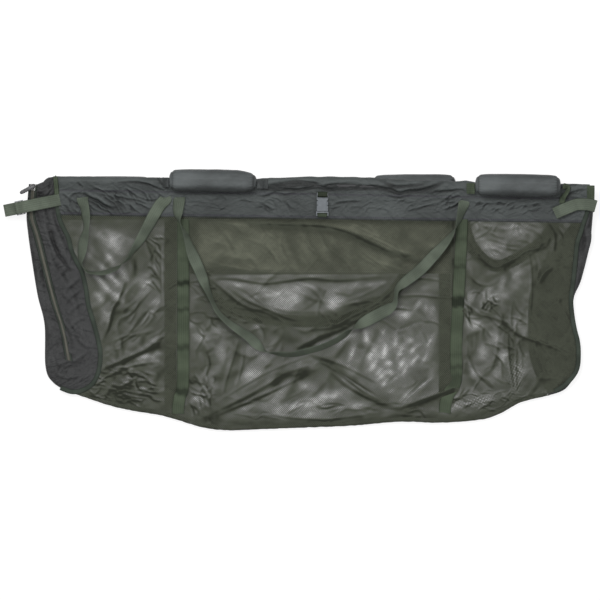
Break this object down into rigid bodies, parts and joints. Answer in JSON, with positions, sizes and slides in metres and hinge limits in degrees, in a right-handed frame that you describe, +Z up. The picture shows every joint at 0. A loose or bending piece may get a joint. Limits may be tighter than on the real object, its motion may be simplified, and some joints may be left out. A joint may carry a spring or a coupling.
{
  "type": "floating recovery sling",
  "caption": "Long poled net sling with zipped end gusset, foam floats, carry handles, side loops, buckle and end straps, lying flat.",
  "frame": {"origin": "centre of the overall outline, on the floor the sling lies on", "axes": "+X along the mouth, +Y toward the mouth, +Z up, the sling lying on its rear panel"},
  "size_m": [1.2186, 0.5362, 0.0994],
  "materials": {
    "knitted_mesh": "olive grey knitted net",
    "grey_nylon": "dark grey woven nylon",
    "olive_cloth": "olive woven cloth",
    "gusset_nylon": "dark grey woven nylon",
    "olive_webbing": "olive ribbed webbing",
    "binding_tape": "dark woven tape",
    "float_cover": "grey nylon over foam",
    "float_foam": "closed cell foam",
    "pole_composite": "black composite rod",
    "cap_rubber": "black soft rubber",
    "buckle_plastic": "dark grey moulded plastic",
    "zip_plastic": "dark zip teeth",
    "slider_metal": "grey painted metal"
  },
  "bodies": {
    "rear": {"rear_collar": "grey_nylon", "rear_pole": "pole_composite", "rear_cap_left": "cap_rubber", "rear_cap_right": "cap_rubber", "rear_mesh": "knitted_mesh", "rear_centre_panel": "olive_cloth", "rear_binding_left": "binding_tape", "rear_binding_right": "binding_tape", "rear_strap_left": "olive_webbing", "rear_strap_right": "olive_webbing", "rear_float_left_cover": "float_cover", "rear_float_left_core": "float_foam", "rear_float_right_cover": "float_cover", "rear_float_right_core": "float_foam", "rear_float_tab_1": "olive_webbing", "rear_float_tab_2": "olive_webbing", "rear_float_tab_3": "olive_webbing", "rear_float_tab_4": "olive_webbing", "left_gusset": "gusset_nylon", "right_gusset": "gusset_nylon", "base_panel": "knitted_mesh"},
    "front": {"front_collar": "grey_nylon", "front_pole": "pole_composite", "front_cap_left": "cap_rubber", "front_cap_right": "cap_rubber", "front_mesh": "knitted_mesh", "front_binding_left": "binding_tape", "front_binding_right": "binding_tape", "right_end_tape": "olive_webbing", "front_strap_left": "olive_webbing", "front_strap_right": "olive_webbing", "front_float_left_cover": "float_cover", "front_float_left_core": "float_foam", "front_float_right_cover": "float_cover", "front_float_right_core": "float_foam", "front_float_tab_1": "grey_nylon", "front_float_tab_2": "grey_nylon", "front_float_tab_3": "olive_webbing", "front_float_tab_4": "olive_webbing", "zip_tape": "binding_tape", "zip_teeth": "zip_plastic", "right_strap_base": "olive_webbing", "buckle_female": "buckle_plastic", "buckle_female_loop": "olive_webbing"},
    "front_handle": {"front_handle": "olive_webbing"},
    "front_side_loop": {"front_side_loop": "olive_webbing"},
    "rear_handle": {"rear_handle": "olive_webbing"},
    "rear_side_loop": {"rear_side_loop": "olive_webbing"},
    "zip_slider": {"zip_slider": "slider_metal"},
    "zip_puller": {"zip_puller": "cap_rubber"},
    "buckle_male": {"buckle_male": "buckle_plastic", "buckle_male_loop": "olive_webbing"},
    "prong_left": {"prong_left": "buckle_plastic"},
    "prong_right": {"prong_right": "buckle_plastic"},
    "left_end_strap": {"left_end_strap": "olive_webbing", "left_strap_tail": "olive_webbing", "left_triglide": "buckle_plastic"},
    "right_end_strap": {"right_end_strap": "olive_webbing"}
  },
  "joints": [
    {"name": "mouth_open", "type": "hinge", "parent": "rear", "child": "front", "pos_m": [0, -0.2665, 0.0097], "axis": [1, 0, 0], "range_deg": [0, 9], "deforming": ["left_gusset", "right_gusset", "base_panel"]},
    {"name": "front_handle_swing", "type": "hinge", "parent": "front", "child": "front_handle", "pos_m": [0.0443, 0.20755, 0.04844], "axis": [-0.9999, 0.0102, -0.0012], "range_deg": [0, 80]},
    {"name": "front_side_loop_swing", "type": "hinge", "parent": "front", "child": "front_side_loop", "pos_m": [-0.36367, 0.2101, 0.04757], "axis": [-0.9997, -0.0231, -0.009], "range_deg": [0, 85]},
    {"name": "rear_handle_swing", "type": "hinge", "parent": "rear", "child": "rear_handle", "pos_m": [0.01639, 0.1832, 0.0003], "axis": [1, 0, 0], "range_deg": [0, 150]},
    {"name": "rear_side_loop_swing", "type": "hinge", "parent": "rear", "child": "rear_side_loop", "pos_m": [0.43, 0.1832, 0.0003], "axis": [1, 0, 0], "range_deg": [0, 150]},
    {"name": "zip_run", "type": "hinge", "parent": "front", "child": "zip_slider", "pos_m": [-0.17057, 0.17529, 0.04652], "axis": [-0.0099, -0.0981, 0.9951], "range_deg": [0, 39]},
    {"name": "puller_flip", "type": "hinge", "parent": "zip_slider", "child": "zip_puller", "pos_m": [-0.54249, 0.23503, 0.05496], "axis": [-0.4603, 0.8877, 0], "range_deg": [0, 100]},
    {"name": "buckle_slide", "type": "slide", "parent": "front", "child": "buckle_male", "axis": [-0.0149, -0.9815, -0.1908], "range_m": [0, 0.028]},
    {"name": "prong_left_squeeze", "type": "hinge", "parent": "buckle_male", "child": "prong_left", "pos_m": [0.0398, 0.18235, 0.04886], "axis": [0.0029, 0.1908, -0.9816], "range_deg": [0, 6], "stiffness_Nm_per_rad": 0.1},
    {"name": "prong_right_squeeze", "type": "hinge", "parent": "buckle_male", "child": "prong_right", "pos_m": [0.0518, 0.18217, 0.04886], "axis": [-0.0029, -0.1908, 0.9816], "range_deg": [0, 6], "stiffness_Nm_per_rad": 0.1},
    {"name": "left_strap_lift", "type": "hinge", "parent": "front", "child": "left_end_strap", "pos_m": [-0.49213, 0.20579, 0.05086], "axis": [-0.1974, 0.9803, 0], "range_deg": [0, 80]},
    {"name": "right_strap_lift", "type": "hinge", "parent": "front", "child": "right_end_strap", "pos_m": [0.60695, 0.19157, 0.05578], "axis": [0.2367, 0.9716, 0], "range_deg": [0, 120]}
  ],
  "couplings": [
    {"joint": "prong_right_squeeze", "follows": "prong_left_squeeze", "ratio": 1}
  ]
}
